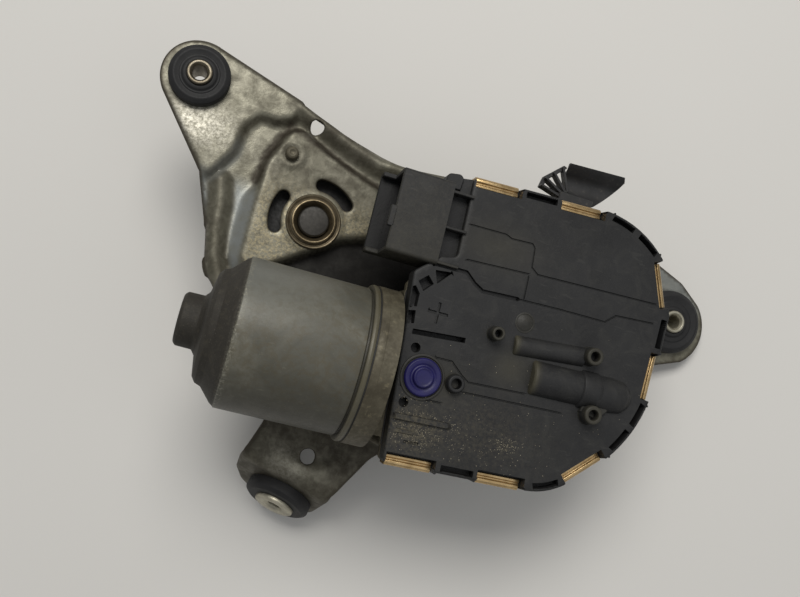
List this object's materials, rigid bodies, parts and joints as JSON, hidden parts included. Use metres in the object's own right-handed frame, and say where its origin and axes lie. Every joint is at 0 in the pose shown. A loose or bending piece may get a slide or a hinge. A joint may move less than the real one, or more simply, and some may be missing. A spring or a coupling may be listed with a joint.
{
  "type": "windshield wiper drive",
  "caption": "Wiper drive: stamped bracket on rubber bushes carries a worm gear motor under a clipped cover; crank and link turn a threaded wiper spindle.",
  "frame": {"origin": "centre of the wiper spindle's threaded tip, with the drive lying on a flat surface on that tip and on the edges of two of its three ears", "axes": "+Z normal to the surface it lies on, towards the cover; +X level, along the motor from its nose to its gears; +Y across, towards the upper ear. The spindle and the output shaft lean by 11.4 degrees from Z"},
  "size_m": [0.2832, 0.2007, 0.1181],
  "materials": {
    "galvanised_sheet": "galvanised, weathered",
    "mount_rubber": "matt, dusty",
    "seal_rubber": "matt",
    "zinc_steel": "zinc plated",
    "shaft_steel": "ground steel",
    "cast_alloy": "as cast, weathered",
    "bearing_bronze": "sintered bronze",
    "can_paint": "satin, stained",
    "magnet_ferrite": "dull",
    "core_steel": "laminated steel",
    "copper_wire": "copper",
    "carbon": "pressed carbon",
    "black_plastic": "moulded",
    "cover_plastic": "moulded, dusty",
    "gear_plastic": "natural acetal, greased",
    "blue_plastic": "moulded",
    "board_laminate": "lacquered",
    "capacitor_metal": "drawn can",
    "clip_spring": "yellow passivated spring steel",
    "tinned_brass": "tinned"
  },
  "bodies": {
    "frame": {"bracket_plate": "galvanised_sheet", "upper_grommet": "mount_rubber", "upper_sleeve": "zinc_steel", "side_grommet": "mount_rubber", "side_sleeve": "zinc_steel", "lower_grommet": "mount_rubber", "lower_sleeve": "zinc_steel", "spindle_housing": "cast_alloy", "housing_rivets": "zinc_steel", "bearing_collar": "zinc_steel", "upper_bush": "bearing_bronze", "lower_bush": "bearing_bronze", "output_bush": "bearing_bronze", "motor_can": "can_paint", "can_seal": "seal_rubber", "nose_bearing": "bearing_bronze", "worm_bearing": "bearing_bronze", "end_bearing": "bearing_bronze", "field_magnets": "magnet_ferrite", "brush_plate": "black_plastic", "brushes": "carbon", "can_screws": "zinc_steel", "gear_housing": "cast_alloy", "motor_bolts": "zinc_steel", "cover_seal": "seal_rubber", "gear_cover": "cover_plastic", "connector_pins": "tinned_brass", "vent_plug": "blue_plastic", "circuit_board": "board_laminate", "power_capacitor": "capacitor_metal", "cover_clips": "clip_spring", "harness_clip": "black_plastic"},
    "output": {"output_shaft": "shaft_steel", "worm_wheel": "gear_plastic", "position_magnet": "magnet_ferrite", "thrust_washer": "zinc_steel", "output_washer": "zinc_steel", "crank": "zinc_steel", "crank_nut": "zinc_steel", "crank_ball_pin": "shaft_steel"},
    "armature": {"armature_shaft": "shaft_steel", "armature_core": "core_steel", "windings": "copper_wire", "commutator": "copper_wire"},
    "spindle": {"spindle": "shaft_steel", "spindle_lever": "zinc_steel", "lever_ball_pin": "shaft_steel", "spindle_circlip": "core_steel", "spindle_washer": "zinc_steel"},
    "link": {"link_rod": "galvanised_sheet", "lever_socket": "black_plastic", "crank_socket": "black_plastic"}
  },
  "joints": [
    {"name": "output_turn", "type": "hinge", "parent": "frame", "child": "output", "pos_m": [0.10187, -0.02797, 0.03974], "axis": [0.1977, -0.0332, 0.9797], "range_deg": [0, 90]},
    {"name": "armature_spin", "type": "hinge", "parent": "frame", "child": "armature", "pos_m": [0.01662, -0.06032, 0.08239], "axis": [0.9803, 0, -0.1978], "range_deg": [-3960, 0]},
    {"name": "spindle_turn", "type": "hinge", "parent": "frame", "child": "spindle", "pos_m": [0.00791, -0.00133, 0.03919], "axis": [0.1977, -0.0332, 0.9797], "range_deg": [0, 90]},
    {"name": "link_swing", "type": "hinge", "parent": "output", "child": "link", "pos_m": [0.06532, -0.04459, 0.01746], "axis": [0.1977, -0.0332, 0.9797], "range_deg": [-90, 0]}
  ],
  "couplings": [
    {"joint": "armature_spin", "follows": "output_turn", "ratio": -44},
    {"joint": "spindle_turn", "follows": "output_turn", "ratio": 1},
    {"joint": "link_swing", "follows": "output_turn", "ratio": -1}
  ]
}
